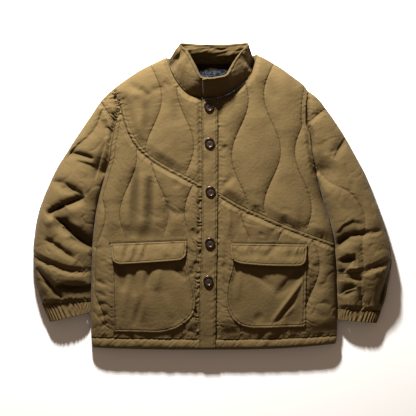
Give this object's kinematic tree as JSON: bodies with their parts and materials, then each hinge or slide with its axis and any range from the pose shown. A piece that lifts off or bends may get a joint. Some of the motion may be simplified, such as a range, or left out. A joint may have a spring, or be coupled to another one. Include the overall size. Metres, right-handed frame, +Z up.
{
  "type": "quilted blouson",
  "caption": "Padded blouson jacket laid flat on its back: wavy channel quilting, slanted yoke seam, short stand collar, flapped patch pockets, ring snaps, hem band and gathered cuffs.",
  "frame": {"origin": "On the surface the jacket lies on, below the middle of its overall box.", "axes": "X runs to the right as seen from above, which is the wearer's left, Y runs from the hem to the collar, and Z points up from the surface."},
  "size_m": [0.861, 0.7359, 0.0855],
  "materials": {
    "shell_cloth": "khaki polyamide, soft sheen",
    "tape": "dark brown woven tape",
    "lining": "dark plain lining with a pale motif",
    "snap_rim": "dark copper, satin",
    "snap_centre": "dark brown, satin"
  },
  "bodies": {
    "root": {"back_panel": "shell_cloth", "back_hem_band": "shell_cloth", "right_front_upper": "shell_cloth", "left_front_upper": "shell_cloth", "right_front_lower": "shell_cloth", "left_front_lower": "shell_cloth", "right_front_hem": "shell_cloth", "left_front_hem": "shell_cloth", "button_placket": "shell_cloth", "collar": "shell_cloth", "neck_tape": "tape", "neck_lining": "lining", "right_sleeve_cap": "shell_cloth", "right_sleeve_upper": "shell_cloth", "right_sleeve_forearm": "shell_cloth", "right_under_sleeve": "shell_cloth", "right_cuff": "shell_cloth", "left_sleeve_cap": "shell_cloth", "left_sleeve_upper": "shell_cloth", "left_sleeve_forearm": "shell_cloth", "left_under_sleeve": "shell_cloth", "left_cuff": "shell_cloth", "right_pocket": "shell_cloth", "right_pocket_flap": "shell_cloth", "right_pocket_welt": "shell_cloth", "left_pocket": "shell_cloth", "left_pocket_flap": "shell_cloth", "left_pocket_welt": "shell_cloth", "button_rim_1": "snap_rim", "button_rim_2": "snap_rim", "button_rim_3": "snap_rim", "button_rim_4": "snap_rim", "button_rim_5": "snap_rim", "button_centre_1": "snap_centre", "button_centre_2": "snap_centre", "button_centre_3": "snap_centre", "button_centre_4": "snap_centre", "button_centre_5": "snap_centre"}
  },
  "joints": []
}
